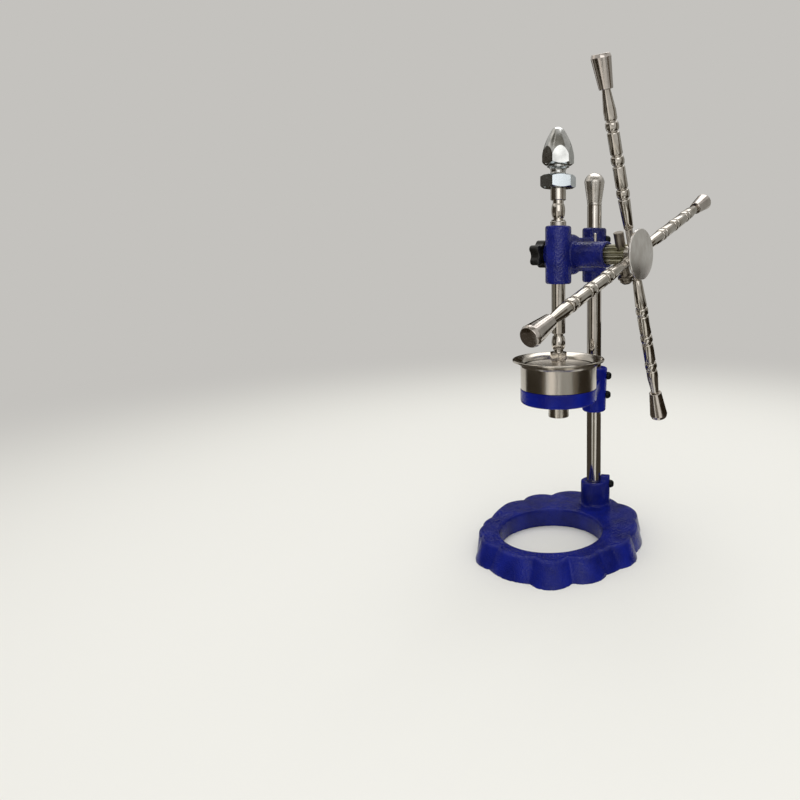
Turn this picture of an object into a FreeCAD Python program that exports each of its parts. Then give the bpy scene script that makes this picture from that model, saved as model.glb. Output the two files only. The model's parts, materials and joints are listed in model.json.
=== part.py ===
import FreeCAD
import Part
import math
import os
import Sketcher
from FreeCAD import Placement, Rotation, Vector
from types import SimpleNamespace

# Rack-and-pinion fruit press with a four-spoke hand wheel, in millimetres.
# Z points up, X points along the pinion towards the hand wheel and Y points away from the user.
# The origin is the middle of the column at the underside of the base.

# Driving dimensions
DIMENSIONS = {
    # column and its cap
    "column_diameter": 18.0,
    "column_top": 403.3,
    "column_stud_diameter": 10.0,
    "column_stud_length": 12.0,
    "cap_flare_diameter": 25.0,
    "cap_flare_height": 28.0,
    "cap_dome_height": 11.4,
    "edge_break": 0.6,
    # distance from the column to the rack
    "arm_reach": 80.0,
    # base casting
    "base_height": 22.4,
    "base_flare": 13.5,
    "base_edge_round": 2.0,
    "base_hole_diameter": 119.4,
    "base_hole_offset": 16.0,
    "socket_diameter": 33.0,
    "socket_height": 30.0,
    "socket_floor": 6.0,
    "socket_foot_round": 3.0,
    "lug_width": 9.0,
    "lug_reach": 20.5,
    "lug_rise": 7.5,
    # clamp screws
    "screw_diameter": 6.0,
    "screw_head_diameter": 10.0,
    "screw_head_height": 5.6,
    "base_screw_drop": 11.0,
    "clamp_turn": 24.0,
    # head casting
    "head_bottom": 308.4,
    "guide_tube_diameter": 30.0,
    "guide_tube_length": 66.6,
    "head_collar_diameter": 30.0,
    "head_collar_length": 67.6,
    "head_edge_round": 2.5,
    "shaft_height_in_head": 33.9,
    "barrel_diameter": 46.8,
    "barrel_back": 17.0,
    "barrel_front": 14.0,
    "barrel_edge_round": 5.0,
    "nose_diameter": 30.0,
    "nose_front": 57.2,
    "head_web_width": 19.0,
    "head_web_height": 40.0,
    "head_screw_height": 52.6,
    # guide bushes
    "bush_diameter": 18.4,
    "bush_stand_out": 5.0,
    "bush_top_length": 25.0,
    "bush_bottom_length": 20.0,
    # rack, pinion and their teeth
    "rack_diameter": 16.0,
    "gear_module": 1.5,
    "pinion_tooth_count": 13.0,
    "pressure_angle": 25.0,
    "tooth_play": 0.15,
    "rack_teeth_below_shaft": 90.0,
    "rack_teeth_above_shaft": 43.0,
    "pinion_journal_diameter": 14.0,
    "rear_bush_diameter": 19.0,
    "rear_bush_length": 8.0,
    "pinion_groove_place": 40.0,
    "pinion_groove_width": 4.6,
    "nose_pin_diameter": 3.5,
    "nose_pin_height": 9.0,
    # turned ends of the rack
    "rack_top": 404.0,
    "rack_neck_diameter": 11.0,
    "rack_ball_length": 15.2,
    "rack_ball_gap": 3.5,
    "rack_bead_length": 16.3,
    "rack_bead_widest": 6.0,
    "rack_bead_low_round": 14.7,
    "rack_bead_high_round": 22.8,
    "finial_stud_diameter": 10.0,
    "sleeve_length": 13.6,
    "sleeve_diameter": 17.6,
    "nut_width": 36.0,
    "nut_height": 14.6,
    "nut_chamfer": 2.1,
    "nut_turn": 46.4,
    # finial
    "finial_width": 32.0,
    "finial_corner_diameter": 37.2,
    "finial_neck_diameter": 17.4,
    "finial_neck_length": 11.5,
    "finial_foot_diameter": 22.6,
    "finial_foot_round": 3.9,
    "finial_waist_height": 3.8,
    "finial_ring_diameter": 25.6,
    "finial_ring_round": 4.9,
    "finial_hex_height": 9.6,
    "finial_cone_height": 29.4,
    "finial_cone_round": 85.0,
    "finial_tip_diameter": 14.0,
    "finial_tip_height": 3.6,
    "finial_turn": 44.3,
    # press plate and its collar
    "plate_diameter": 79.0,
    "plate_thickness": 7.0,
    "plate_depth_in_cup": 7.0,
    "plate_stud_diameter": 10.0,
    "plate_nut_diameter": 18.0,
    "plate_nut_height": 4.0,
    "collar_foot_diameter": 16.4,
    "collar_foot_height": 4.9,
    "collar_diameter": 19.1,
    "collar_height": 9.8,
    "knurl_count": 36.0,
    "knurl_depth": 0.5,
    # cup holder casting
    "holder_bottom": 170.5,
    "holder_ring_height": 17.0,
    "holder_ring_diameter": 89.2,
    "holder_ring_wall": 2.7,
    "holder_floor": 3.9,
    "holder_hole_diameter": 34.0,
    "holder_edge_round": 4.0,
    "holder_collar_low_diameter": 30.0,
    "holder_collar_high_diameter": 34.0,
    "holder_collar_drop": 26.7,
    "holder_collar_length": 56.2,
    "holder_web_outer_width": 68.0,
    "holder_web_inner_width": 27.0,
    "holder_web_drop": 1.2,
    "holder_web_start": 28.5,
    "holder_screw_low": 21.1,
    "holder_screw_high": 45.5,
    # cup, strainer and spout
    "cup_diameter": 88.5,
    "cup_wall": 1.2,
    "cup_height": 33.7,
    "cup_rim_diameter": 107.0,
    "cup_rim_height": 8.2,
    "cup_rim_edge": 2.2,
    "cup_flare_round_outside": 14.5,
    "cup_flare_round_inside": 18.4,
    "spout_diameter": 23.7,
    "spout_length": 21.5,
    "strainer_height": 4.0,
    "strainer_thickness": 1.2,
    "strainer_hole_diameter": 3.0,
    "strainer_hole_spacing": 7.2,
    # brake screw with its star knob
    "star_diameter": 33.4,
    "star_lobe_diameter": 9.0,
    "star_thickness": 13.0,
    "star_stand_off": 3.5,
    "star_edge_round": 1.8,
    "star_lobe_count": 5.0,
    "star_lobe_spread": 72.0,
    "star_hollow_place": 11.8,
    "star_turn": 12.0,
    "star_socket_depth": 10.4,
    "brake_stud_diameter": 8.0,
    "brake_pad_length": 3.0,
    # round bar through the pinion, in line with the upright spokes
    "cross_place": 74.8,
    "cross_diameter": 11.4,
    "cross_rise": 25.6,
    "cross_drop": 34.3,
    "cross_head_diameter": 14.2,
    "cross_head_height": 5.4,
    "cross_flange_diameter": 18.2,
    "cross_flange_place": 25.2,
    "cross_flange_height": 2.8,
    "cross_flange_round": 4.2,
    # hand wheel hub
    "hub_back": 80.9,
    "hub_diameter": 18.6,
    "hub_seat_diameter": 9.0,
    "hub_seat_length": 10.0,
    "hub_disc_diameter": 56.0,
    "hub_disc_edge": 2.6,
    "hub_disc_dome": 2.6,
    # spokes and their grips
    "wheel_turn": 20.0,
    "upright_pair_place": 7.4,
    "level_pair_place": 11.4,
    "spoke_stud_diameter": 8.0,
    "spoke_start": 29.6,
    "spoke_root_diameter": 9.3,
    "spoke_diameter": 13.3,
    "spoke_taper_end": 61.4,
    "first_bead": 68.1,
    "bead_spacing": 35.1,
    "bead_diameter": 14.8,
    "bead_length": 6.2,
    "bead_round": 4.6,
    "bead_ring_length": 0.8,
    "bead_groove_length": 0.6,
    "bead_groove_diameter": 10.2,
    "spoke_shoulder": 153.8,
    "spoke_neck_diameter": 8.8,
    "spoke_tip_diameter": 6.0,
    "grip_start": 174.5,
    "grip_length": 33.6,
    "grip_small_diameter": 14.7,
    "grip_large_diameter": 21.0,
    "grip_face_diameter": 18.6,
    "grip_hole_depth": 12.0,
    # clearances
    "fit": 0.05,
    "seat": 0.3,
}

# Outline of the base at its top face: grooves between lobes, each as an angle round the hole
# (0 is towards the user, 90 towards the hand wheel) with the land of metal beyond the hole, and
# after it the land at the middle of the lobe that follows. The last two numbers are how many times
# the base's flare the foot stands out beyond the groove and beyond the lobe.
FRONT_LOBES = [
    (-82.0, 22.8, 24.8, 0.25, 0.22),
    (-66.0, 22.5, 24.2, 0.15, 0.15),
    (-46.0, 20.0, 21.0, 0.42, 0.75),
    (-17.0, 13.8, 17.6, 0.90, 0.88),
    (20.5, 12.6, 21.0, 1.20, 1.37),
    (49.5, 12.4, 21.9, 1.22, 1.12),
    (76.0, 18.0, 20.5, 1.00, 0.96),
    (88.0, 20.5, 31.5, 1.05, 0.85),
]
# The same for the lobes behind, with the metal beyond the distance from the hole to the column.
REAR_LOBES = [
    (114.0, -3.8, 5.5, 0.50, 0.48),
    (141.0, 10.5, 23.5, 0.40, 0.40),
    (167.0, 20.8, 27.8, 0.40, 0.50),
    (189.0, 25.0, 31.5, 0.50, 0.50),
    (214.5, 13.5, 18.0, 0.50, 0.50),
    (236.0, 4.0, 6.0, 0.50, 0.40),
    (255.0, 0.8, -7.2, 0.30, 0.30),
]

doc = FreeCAD.newDocument("fruit_press")
sheet = doc.addObject("Spreadsheet::Sheet", "sizes")
parts = []


class Size:
    """A length held both as a number and as the expression that gives it from the sheet."""

    def __init__(self, value, text):
        self.value = float(value)
        self.text = text

    def __add__(self, other):
        other = as_size(other)
        return Size(self.value + other.value, f"({self.text} + {other.text})")

    def __sub__(self, other):
        other = as_size(other)
        return Size(self.value - other.value, f"({self.text} - {other.text})")

    def __mul__(self, number):
        return Size(self.value * number, f"({self.text} * {number})")

    def __truediv__(self, number):
        return Size(self.value / number, f"({self.text} / {number})")

    def __neg__(self):
        return Size(-self.value, f"(0 - {self.text})")


def as_size(length):
    """A Size of any length, plain numbers included."""
    if isinstance(length, Size):
        return length
    return Size(length, f"({float(length)})")


def read_sheet():
    """Fills the sheet with the driving dimensions and returns each as a Size under its own name."""
    sizes = {}
    for row, (name, number) in enumerate(DIMENSIONS.items(), start=1):
        sheet.set(f"A{row}", name)
        sheet.set(f"B{row}", str(number))
        sheet.setAlias(f"B{row}", name)
        sizes[name] = Size(number, f"sizes.{name}")
    doc.recompute()
    return SimpleNamespace(**sizes)


s = read_sheet()

# Lengths that follow from the driving dimensions
column_radius = s.column_diameter / 2
hole_radius = s.base_hole_diameter / 2
hole_distance = s.arm_reach + s.base_hole_offset
tube_top = s.head_bottom + s.guide_tube_length
shaft_height = s.head_bottom + s.shaft_height_in_head
pitch_radius = s.gear_module * (s.pinion_tooth_count.value / 2)
tooth_pitch = math.pi * s.gear_module.value
tooth_depth = s.gear_module * 2.25
rack_flat = s.rack_diameter / 2 - s.gear_module / 2
pitch_line = rack_flat - s.gear_module
shaft_y = pitch_line + pitch_radius - s.arm_reach
pinion_tip_radius = pitch_radius + s.gear_module
pinion_root_radius = pitch_radius - s.gear_module * 1.25
holder_top = s.holder_bottom + s.holder_ring_height
cup_bottom = s.holder_bottom + s.holder_floor + s.seat
cup_shoulder = holder_top + s.seat
cup_rim = cup_shoulder + s.cup_height
plate_top = cup_rim - s.plate_depth_in_cup
plate_bottom = plate_top - s.plate_thickness
collar_top = plate_top + s.collar_foot_height + s.collar_height
holder_collar_bottom = s.holder_bottom - s.holder_collar_drop
nut_bottom = s.rack_top + s.sleeve_length
finial_foot = nut_bottom + s.nut_height
hub_front = s.hub_back + s.level_pair_place + s.spoke_stud_diameter / 2 + s.edge_break

UP = Rotation()
RIGHT = Rotation(Vector(0, 1, 0), 90)
LEFT = Rotation(Vector(0, 1, 0), -90)


def put(piece, x, y, z, rotation=UP):
    """Places a piece at a point that stays tied to the sheet."""
    piece.Placement = Placement(Vector(), rotation)
    for axis, length in zip("xyz", (x, y, z)):
        if isinstance(length, Size):
            piece.setExpression(f"Placement.Base.{axis}", length.text)
        elif length:
            setattr(piece.Placement.Base, axis, length)
    return piece


def keep(piece):
    """Adds a finished piece to the ones that are written out."""
    parts.append(piece)
    return piece


def plane(body, role):
    """The origin plane of a body that has the given role."""
    return next(feature for feature in body.Origin.OriginFeatures if feature.Role == role)


def bulged_middle(start, end, radius):
    """The middle of an arc between two points, to the right of the way there for a positive radius."""
    half = (end - start) * 0.5
    rise = abs(radius) - math.sqrt(max(radius * radius - half.Length ** 2, 0.0))
    side = Vector(half.y, -half.x, 0).normalize()
    return start + half + side * math.copysign(rise, radius)


def tie(sketch, kind, place, length):
    """Ties one corner of a sketch to an axis or to a distance from the origin."""
    geometry, end = place
    if not isinstance(length, Size) and length == 0:
        axis = -2 if kind == "DistanceX" else -1
        sketch.addConstraint(Sketcher.Constraint("PointOnObject", geometry, end, axis))
        return
    length = as_size(length)
    row = sketch.addConstraint(Sketcher.Constraint(kind, -1, 1, geometry, end, length.value))
    sketch.setExpression(f"Constraints[{row}]", length.text)


def draw(sketch, outline):
    """Draws a closed outline of (radius, height) corners; a third item is the radius of an arc to there."""
    corners = [Vector(as_size(c[0]).value, as_size(c[1]).value, 0) for c in outline]
    ends = []
    for number, corner in enumerate(outline):
        start, end = corners[number - 1], corners[number]
        if len(corner) == 3:
            radius = as_size(corner[2]).value
            middle = bulged_middle(start, end, radius)
            first, last = (start, end) if radius > 0 else (end, start)
            geometry = sketch.addGeometry(Part.Arc(first, middle, last))
        else:
            geometry = sketch.addGeometry(Part.LineSegment(start, end))
        begins = sketch.getPoint(geometry, 1).distanceToPoint(start) < 1e-6
        ends.append((geometry, 1 if begins else 2, 2 if begins else 1))
    for number, (geometry, first, last) in enumerate(ends):
        following = ends[(number + 1) % len(ends)]
        sketch.addConstraint(Sketcher.Constraint("Coincident", geometry, last, following[0], following[1]))
        tie(sketch, "DistanceX", (geometry, last), outline[number][0])
        tie(sketch, "DistanceY", (geometry, last), outline[number][1])
        if len(outline[number]) == 3:
            radius = as_size(outline[number][2])
            size = radius if radius.value > 0 else -radius
            row = sketch.addConstraint(Sketcher.Constraint("Radius", geometry, size.value))
            sketch.setExpression(f"Constraints[{row}]", size.text)


def turned(label, outline):
    """A turned piece standing on its own axis, from an outline of (radius, height) corners."""
    body = doc.addObject("PartDesign::Body", label)
    sketch = body.newObject("Sketcher::SketchObject", label + "_outline")
    sketch.AttachmentSupport = (plane(body, "XZ_Plane"), [""])
    sketch.MapMode = "FlatFace"
    draw(sketch, outline)
    turn = body.newObject("PartDesign::Revolution", label + "_turned")
    turn.Profile = sketch
    turn.ReferenceAxis = (sketch, ["V_Axis"])
    turn.Angle = 360
    return body


def rod(label, radius, length):
    """A plain cylinder."""
    piece = doc.addObject("Part::Cylinder", label)
    piece.setExpression("Radius", radius.text)
    piece.setExpression("Height", length.text)
    return piece


def post(label, radius, length, edge):
    """A cylinder with both edges rounded."""
    return turned(label, [
        (0, 0),
        (radius - edge, 0),
        (radius, edge, edge),
        (radius, length - edge),
        (radius - edge, length, edge),
        (0, length),
    ])


def hexagon(label, width, length):
    """A hexagonal bar of the given width across its flats."""
    piece = doc.addObject("Part::Prism", label)
    piece.Polygon = 6
    piece.setExpression("Circumradius", (width / (2 * math.cos(math.radians(30)))).text)
    piece.setExpression("Height", length.text)
    return piece


def joined(label, pieces):
    """Several pieces made into one."""
    fusion = doc.addObject("Part::MultiFuse", label)
    fusion.Shapes = pieces
    fusion.Refine = True
    return fusion


def cut_away(label, solid, tools):
    """A piece with one or more tools taken out of it."""
    cut = doc.addObject("Part::Cut", label)
    cut.Base = solid
    cut.Tool = tools[0] if len(tools) == 1 else joined(label + "_tools", tools)
    return cut


def common(label, first, second):
    """What two pieces share."""
    shared = doc.addObject("Part::MultiCommon", label)
    shared.Shapes = [first, second]
    return shared


def solid_feature(label, shape, placement=None):
    """A piece whose shape is worked out in this script."""
    piece = doc.addObject("Part::Feature", label)
    piece.Shape = shape
    if placement:
        piece.Placement = placement
    return piece


def dome_radius(half_width, rise):
    """The radius of an arc that is this wide to each side of its middle and this high."""
    number = (half_width.value ** 2 + rise.value ** 2) / (2 * rise.value)
    return Size(number, f"(({half_width.text} ^ 2 + {rise.text} ^ 2) / (2 * {rise.text}))")


def clamp_screw(label, collar_radius):
    """A round-headed screw that clamps the column, from its tip outwards."""
    shank = collar_radius - column_radius - s.seat
    head = s.screw_head_diameter / 2
    dome = s.screw_head_height - s.edge_break
    return turned(label, [
        (0, 0),
        (s.screw_diameter / 2, 0),
        (s.screw_diameter / 2, shank),
        (head, shank),
        (head, shank + s.edge_break),
        (0, shank + s.screw_head_height, dome_radius(head, dome)),
    ])


def screw_hole(label):
    """The hole that a clamp screw runs in, from the column outwards."""
    return rod(label, s.screw_diameter / 2 + s.fit, s.socket_diameter)


def put_clamp(piece, reach, height):
    """Places a clamp screw or its hole beside the column, turned a little away from the user."""
    turn = Rotation(Vector(0, 0, 1), s.clamp_turn.value)
    direction = turn.multVec(Vector(1, 0, 0))
    reach = as_size(reach)
    return put(piece, reach * direction.x, reach * direction.y, height, turn.multiply(RIGHT))


def base_outline(height, inset):
    """The lobed outline of the base at a height, drawn in by the inset."""
    flare = s.base_flare.value * (1 - height / s.base_height.value)
    lobes = []
    for rows, start in ((FRONT_LOBES, hole_radius.value), (REAR_LOBES, hole_distance.value)):
        for angle, groove, lobe, groove_flare, lobe_flare in rows:
            groove_radius = start + groove + groove_flare * flare - inset
            lobe_radius = start + lobe + lobe_flare * flare - inset
            lobes.append((angle, groove_radius, lobe_radius))

    def point(angle, radius):
        turn = math.radians(angle)
        x = radius * math.sin(turn)
        y = -radius * math.cos(turn) - hole_distance.value
        return Vector(x, y, height)

    edges = []
    for number, (angle, groove, lobe) in enumerate(lobes):
        next_angle, next_groove, next_lobe = lobes[(number + 1) % len(lobes)]
        if next_angle < angle:
            next_angle += 360
        middle = point((angle + next_angle) / 2, lobe)
        edges.append(Part.Arc(point(angle, groove), middle, point(next_angle, next_groove)).toShape())
    return Part.Wire(edges)


def make_base():
    """The heavy foot: a lobed and flared ring with a socket for the column and a lug for its screw."""
    top = s.base_height.value
    edge = s.base_edge_round.value
    rings = [base_outline(0, 0), base_outline(top - edge, 0), base_outline(top, edge)]
    plate = solid_feature("base_plate", Part.makeLoft(rings, True, True))
    socket_top = s.base_height + s.socket_height
    radius = s.socket_diameter / 2
    foot = s.socket_foot_round
    socket = turned("base_socket", [
        (0, 0),
        (radius + foot, 0),
        (radius + foot, s.base_height),
        (radius, s.base_height + foot, -foot),
        (radius, socket_top - s.edge_break),
        (radius - s.edge_break, socket_top),
        (0, socket_top),
    ])
    lug = doc.addObject("Part::Box", "base_lug")
    lug.setExpression("Length", (s.lug_reach - column_radius).text)
    lug.setExpression("Width", s.lug_width.text)
    lug.setExpression("Height", (s.socket_height + s.lug_rise).text)
    turn = Rotation(Vector(0, 0, 1), s.clamp_turn.value)
    corner = turn.multVec(Vector(column_radius.value, -s.lug_width.value / 2, 0))
    lug.Placement = Placement(corner, turn)
    lug.setExpression("Placement.Base.z", s.base_height.text)
    hole = turned("base_hole", [
        (0, -s.seat),
        (hole_radius, -s.seat),
        (hole_radius, s.base_height - s.base_edge_round),
        (hole_radius + s.base_edge_round, s.base_height, -s.base_edge_round),
        (hole_radius + s.base_edge_round, s.base_height + s.seat),
        (0, s.base_height + s.seat),
    ])
    put(hole, 0, -hole_distance, 0)
    bore = rod("base_bore", column_radius + s.fit, s.base_height + s.socket_height + s.lug_rise)
    put(bore, 0, 0, s.socket_floor)
    screw_height = socket_top - s.base_screw_drop + s.lug_rise
    tunnel = put_clamp(screw_hole("base_screw_hole"), 0, screw_height)
    blank = joined("base_blank", [plate, socket, lug])
    keep(cut_away("base_casting", blank, [hole, bore, tunnel]))

    screw = keep(clamp_screw("base_clamp_screw", s.lug_reach))
    put_clamp(screw, column_radius + s.seat, screw_height)


def make_column():
    """The column with the stud that carries its cap, and the flared cap with a domed top."""
    length = s.column_top - s.socket_floor
    stud = s.column_stud_diameter / 2
    column = keep(turned("column", [
        (0, 0),
        (column_radius - s.edge_break, 0),
        (column_radius, s.edge_break),
        (column_radius, length - s.edge_break),
        (column_radius - s.edge_break, length),
        (stud, length),
        (stud, length + s.column_stud_length),
        (0, length + s.column_stud_length),
    ]))
    put(column, 0, 0, s.socket_floor)
    hole = stud + s.fit
    depth = s.column_stud_length + s.seat
    flare = s.cap_flare_diameter / 2
    shoulder = s.cap_flare_height
    cap = keep(turned("column_cap", [
        (hole, 0),
        (column_radius - s.edge_break, 0),
        (column_radius, s.edge_break),
        (column_radius, s.edge_break * 5),
        (flare, shoulder),
        (flare, shoulder + s.edge_break),
        (0, shoulder + s.edge_break + s.cap_dome_height, dome_radius(flare, s.cap_dome_height)),
        (0, depth),
        (hole, depth),
    ]))
    put(cap, 0, 0, s.column_top)


def make_head():
    """The head casting: rack guide tube, column collar, pinion barrel, nose and web in one piece."""
    tube = post("head_tube", s.guide_tube_diameter / 2, s.guide_tube_length, s.head_edge_round)
    put(tube, 0, -s.arm_reach, s.head_bottom)
    collar = post("head_collar", s.head_collar_diameter / 2, s.head_collar_length, s.head_edge_round)
    put(collar, 0, 0, s.head_bottom - s.edge_break)
    length = s.barrel_back + s.barrel_front
    radius = s.barrel_diameter / 2
    edge = s.barrel_edge_round
    barrel = turned("head_barrel", [
        (0, 0),
        (radius - s.head_edge_round, 0),
        (radius, s.head_edge_round, s.head_edge_round),
        (radius, length - edge),
        (radius - edge, length, edge),
        (0, length),
    ])
    put(barrel, -s.barrel_back, shaft_y, shaft_height, RIGHT)
    nose_length = s.nose_front - s.barrel_front
    nose = turned("head_nose", [
        (0, 0),
        (s.nose_diameter / 2, 0),
        (s.nose_diameter / 2, nose_length - s.edge_break * 2),
        (s.nose_diameter / 2 - s.edge_break * 2, nose_length, s.edge_break * 2),
        (0, nose_length),
    ])
    put(nose, s.barrel_front, shaft_y, shaft_height, RIGHT)
    web = doc.addObject("Part::Box", "head_web")
    web.setExpression("Length", s.head_web_width.text)
    web.setExpression("Width", (-shaft_y).text)
    web.setExpression("Height", s.head_web_height.text)
    put(web, -s.head_web_width / 2, shaft_y, shaft_height - s.head_web_height / 2)
    blank = joined("head_blank", [tube, collar, barrel, nose, web])

    rack_bore = rod("head_rack_bore", s.bush_diameter / 2 + s.fit, s.guide_tube_length + s.seat * 2)
    put(rack_bore, 0, -s.arm_reach, s.head_bottom - s.seat)
    column_bore = rod("head_column_bore", column_radius + s.fit, s.head_collar_length + s.seat * 2)
    put(column_bore, 0, 0, s.head_bottom - s.edge_break - s.seat)
    gear_back = s.rear_bush_length - s.barrel_back
    gear_bore = rod("head_gear_bore", pinion_tip_radius + s.fit, s.nose_front - gear_back + s.seat)
    put(gear_bore, gear_back, shaft_y, shaft_height, RIGHT)
    bush_bore = rod("head_bush_bore", s.rear_bush_diameter / 2 + s.fit, s.rear_bush_length + s.seat * 2)
    put(bush_bore, -s.barrel_back - s.seat, shaft_y, shaft_height, RIGHT)
    brake_bore = rod("head_brake_bore", s.brake_stud_diameter / 2 + s.fit, s.guide_tube_diameter)
    put(brake_bore, 0, -s.arm_reach, shaft_height, LEFT)
    pin_hole = rod("head_pin_hole", s.nose_pin_diameter / 2 + s.fit, s.nose_diameter)
    put(pin_hole, s.pinion_groove_place, shaft_y, shaft_height)
    tunnel = put_clamp(screw_hole("head_screw_hole"), 0, s.head_bottom + s.head_screw_height)
    tools = [rack_bore, column_bore, gear_bore, bush_bore, brake_bore, pin_hole, tunnel]
    keep(cut_away("head_casting", blank, tools))

    screw = keep(clamp_screw("head_clamp_screw", s.head_collar_diameter / 2))
    put_clamp(screw, column_radius + s.seat, s.head_bottom + s.head_screw_height)


def make_bush(label, inner, outer, length):
    """A plain bush with both ends broken."""
    edge = s.edge_break
    return keep(turned(label, [
        (inner, 0),
        (outer - edge, 0),
        (outer, edge),
        (outer, length - edge),
        (outer - edge, length),
        (inner, length),
    ]))


def make_bushes():
    """The two bushes that guide the rack and the one behind the pinion."""
    bore = s.rack_diameter / 2 + s.fit
    outer = s.bush_diameter / 2
    upper = make_bush("guide_bush_top", bore, outer, s.bush_top_length)
    put(upper, 0, -s.arm_reach, tube_top + s.bush_stand_out - s.bush_top_length)
    lower = make_bush("guide_bush_bottom", bore, outer, s.bush_bottom_length)
    put(lower, 0, -s.arm_reach, s.head_bottom)
    journal = s.pinion_journal_diameter / 2 + s.fit
    rear = make_bush("pinion_bush_rear", journal, s.rear_bush_diameter / 2, s.rear_bush_length)
    put(rear, -s.barrel_back, shaft_y, shaft_height, RIGHT)


def rack_comb():
    """What is cut from the back of the rack to leave its teeth, one tooth level with the pinion."""
    depth_top = rack_flat.value
    depth_root = depth_top - tooth_depth.value
    slope = math.tan(math.radians(s.pressure_angle.value))
    half = tooth_pitch / 4 - s.tooth_play.value / 2
    tip = half - s.gear_module.value * slope
    root = half + s.gear_module.value * 1.25 * slope
    first = -int(s.rack_teeth_below_shaft.value / tooth_pitch)
    last = int(s.rack_teeth_above_shaft.value / tooth_pitch)
    beyond = s.rack_diameter.value
    points = [Vector(0, beyond, first * tooth_pitch + root)]
    for tooth in range(first, last):
        low = tooth * tooth_pitch
        high = low + tooth_pitch
        if tooth > first:
            points.append(Vector(0, depth_top, low + tip))
        points.append(Vector(0, depth_root, low + root))
        points.append(Vector(0, depth_root, high - root))
        if tooth < last - 1:
            points.append(Vector(0, depth_top, high - tip))
    points.append(Vector(0, beyond, (last * tooth_pitch) - root))
    points.append(points[0])
    width = s.rack_diameter.value
    comb = Part.Face(Part.makePolygon(points)).extrude(Vector(width, 0, 0))
    comb.translate(Vector(-width / 2, -s.arm_reach.value, shaft_height.value))
    return comb


def make_rack():
    """The rack: a round bar with teeth behind, a ball and neck below and a long bead above."""
    foot = plate_bottom
    stud = s.plate_stud_diameter / 2
    bar = s.rack_diameter / 2
    neck = s.rack_neck_diameter / 2
    ball_low = collar_top - foot + s.rack_ball_gap
    ball_high = ball_low + s.rack_ball_length
    bar_low = ball_high + s.rack_ball_gap
    top = s.rack_top - foot
    bead_high = top - s.rack_ball_gap - s.edge_break
    bead_low = bead_high - s.rack_bead_length
    hole = s.finial_stud_diameter / 2 + s.fit
    hole_low = top - s.sleeve_length
    shoulder = s.edge_break * 2
    blank = turned("rack_bar", [
        (0, 0),
        (stud, 0),
        (stud, collar_top - foot),
        (neck, collar_top - foot),
        (neck, ball_low),
        (neck + shoulder, ball_low),
        (neck + shoulder, ball_high, dome_radius(s.rack_ball_length / 2, bar - neck - shoulder)),
        (neck, ball_high),
        (neck, bar_low - s.edge_break),
        (bar - s.edge_break, bar_low - s.edge_break),
        (bar, bar_low),
        (bar, bead_low - s.rack_ball_gap / 2),
        (neck, bead_low - s.rack_ball_gap / 2),
        (neck, bead_low),
        (neck + s.edge_break, bead_low),
        (bar - s.edge_break / 2, bead_low + s.rack_bead_widest, s.rack_bead_low_round),
        (neck + shoulder, bead_high, s.rack_bead_high_round),
        (hole + shoulder, bead_high),
        (hole + shoulder, top),
        (hole, top),
        (hole, hole_low),
        (0, hole_low),
    ])
    put(blank, 0, -s.arm_reach, foot)
    keep(cut_away("rack", blank, [solid_feature("rack_comb", rack_comb())]))

    sleeve = s.sleeve_diameter / 2
    ring = keep(turned("rack_sleeve", [
        (hole, 0),
        (sleeve - s.edge_break, 0),
        (sleeve, s.edge_break),
        (sleeve, s.sleeve_length - s.edge_break),
        (sleeve - s.edge_break, s.sleeve_length),
        (hole, s.sleeve_length),
    ]))
    put(ring, 0, -s.arm_reach, s.rack_top)


def make_rack_nut():
    """The large chamfered nut that stops the rack on its way down."""
    bore = s.finial_stud_diameter / 2 + s.fit
    flat = s.nut_width / 2
    corner = s.nut_width / (2 * math.cos(math.radians(30))) + s.fit
    chamfer = s.nut_chamfer
    shape = turned("nut_blank", [
        (bore, 0),
        (flat - s.edge_break, 0),
        (corner, chamfer),
        (corner, s.nut_height - chamfer),
        (flat - s.edge_break, s.nut_height),
        (bore, s.nut_height),
    ])
    flats = hexagon("nut_flats", s.nut_width, s.nut_height)
    nut = keep(common("rack_nut", shape, flats))
    put(nut, 0, -s.arm_reach, nut_bottom, Rotation(Vector(0, 0, 1), s.nut_turn.value))


def make_finial():
    """The pointed hexagonal finial with its neck and the stud that holds sleeve and nut."""
    stud = s.finial_stud_diameter / 2
    foot = s.nut_height + s.sleeve_length * 2 - s.edge_break
    neck = s.finial_neck_diameter / 2
    flange = s.finial_foot_diameter / 2
    ring = s.finial_ring_diameter / 2
    hex_low = foot + s.finial_neck_length
    corner = s.finial_corner_diameter / 2
    chamfer = corner - s.finial_width / 2 + s.edge_break
    hex_high = hex_low + s.finial_hex_height
    tip_low = hex_high + s.finial_cone_height
    tip = s.finial_tip_diameter / 2
    shape = turned("finial_blank", [
        (0, 0),
        (stud, 0),
        (stud, foot),
        (flange - s.edge_break, foot),
        (neck, foot + s.finial_waist_height, -s.finial_foot_round),
        (ring, hex_low - s.edge_break * 4, -s.finial_ring_round),
        (ring, hex_low - s.edge_break * 2),
        (ring - s.edge_break * 2, hex_low),
        (corner - chamfer, hex_low),
        (corner, hex_low + chamfer * 0.8),
        (corner, hex_high),
        (tip, tip_low, s.finial_cone_round),
        (0, tip_low + s.finial_tip_height, dome_radius(tip, s.finial_tip_height)),
    ])
    flats = hexagon("finial_flats", s.finial_width, tip_low + s.finial_tip_height)
    finial = keep(common("finial", shape, flats))
    put(finial, 0, -s.arm_reach, finial_foot - foot, Rotation(Vector(0, 0, 1), s.finial_turn.value))


def knurled_ring():
    """The ring of fine upright grooves round the collar."""
    outer = s.collar_diameter.value / 2
    inner = outer - s.knurl_depth.value
    count = int(s.knurl_count.value)
    points = []
    for step in range(count * 2):
        turn = math.pi * step / count
        radius = outer if step % 2 == 0 else inner
        points.append(Vector(radius * math.cos(turn), radius * math.sin(turn), 0))
    points.append(points[0])
    return Part.Face(Part.makePolygon(points)).extrude(Vector(0, 0, s.collar_height.value))


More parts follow.
